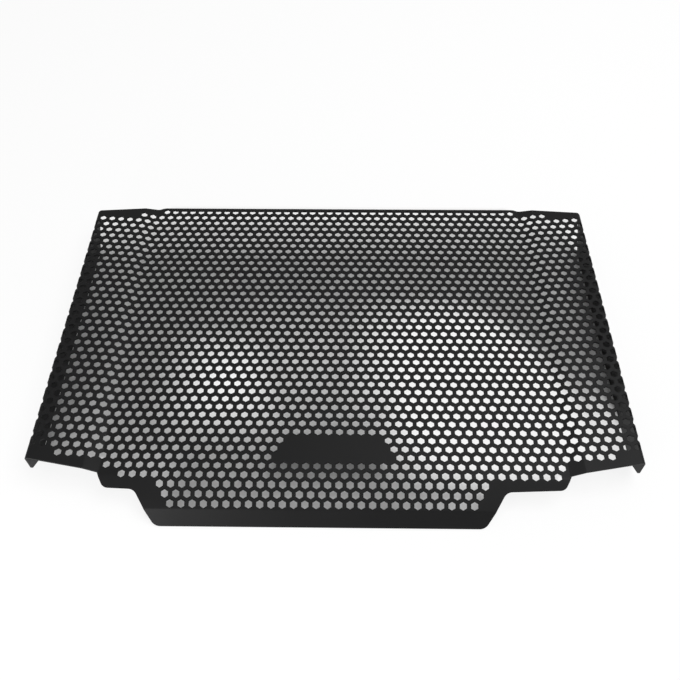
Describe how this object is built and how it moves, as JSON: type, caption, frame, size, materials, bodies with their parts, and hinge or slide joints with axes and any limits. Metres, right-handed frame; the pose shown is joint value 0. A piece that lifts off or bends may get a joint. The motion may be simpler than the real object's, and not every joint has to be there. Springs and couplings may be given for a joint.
{
  "type": "radiator guard",
  "caption": "Motorcycle radiator guard: a hexagon-perforated sheet with stepped sides, folded side flanges and a slanted lower tongue, keeping stones off the radiator core.",
  "frame": {"origin": "middle of the guard's box, on the surface it lies on", "axes": "+Z out of the front face, up as the guard lies; +X along its width; +Y from the lower lip to the top edge"},
  "size_m": [0.3916, 0.2636, 0.0247],
  "materials": {
    "coated_sheet": "black satin powder coat on aluminium sheet"
  },
  "bodies": {
    "root": {"guard_sheet": "coated_sheet"}
  },
  "joints": []
}
